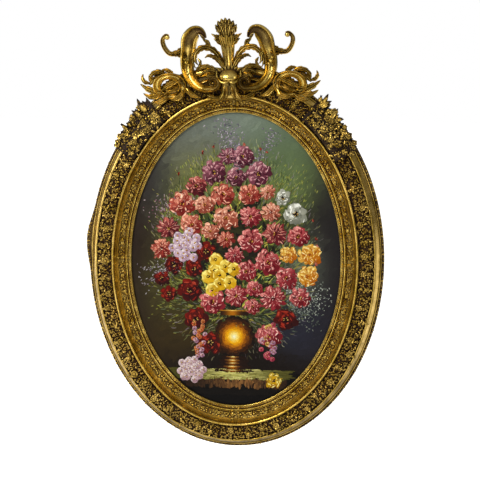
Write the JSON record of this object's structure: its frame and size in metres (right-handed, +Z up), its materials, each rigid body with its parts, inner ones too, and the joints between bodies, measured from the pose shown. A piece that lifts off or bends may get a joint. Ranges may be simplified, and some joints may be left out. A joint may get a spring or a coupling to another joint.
{
  "type": "framed oil painting",
  "caption": "Oval still life of flowers in oils on stretched canvas, in an antiqued gilt moulded frame with carved flower band and pierced scroll crest.",
  "frame": {"origin": "the hanging point, on the frame's flat back at its top centre", "axes": "+Z up, +Y into the wall, +X to the right of a viewer facing the painting"},
  "size_m": [0.6996, 0.0765, 1.0054],
  "materials": {
    "gilded_frame": "antiqued gilding",
    "gilded_liner": "antiqued gilding",
    "gilded_crest": "antiqued gilding",
    "gilded_spray": "antiqued gilding",
    "oil_paint": "varnished oil paint on canvas",
    "strainer_pine": "bare planed wood"
  },
  "bodies": {
    "root": {"frame_moulding": "gilded_frame", "liner_upper_right": "gilded_liner", "liner_upper_left": "gilded_liner", "liner_lower_left": "gilded_liner", "liner_lower_right": "gilded_liner", "canvas": "oil_paint", "strainer": "strainer_pine", "crest": "gilded_crest", "spray_right": "gilded_spray", "spray_left": "gilded_spray"}
  },
  "joints": []
}
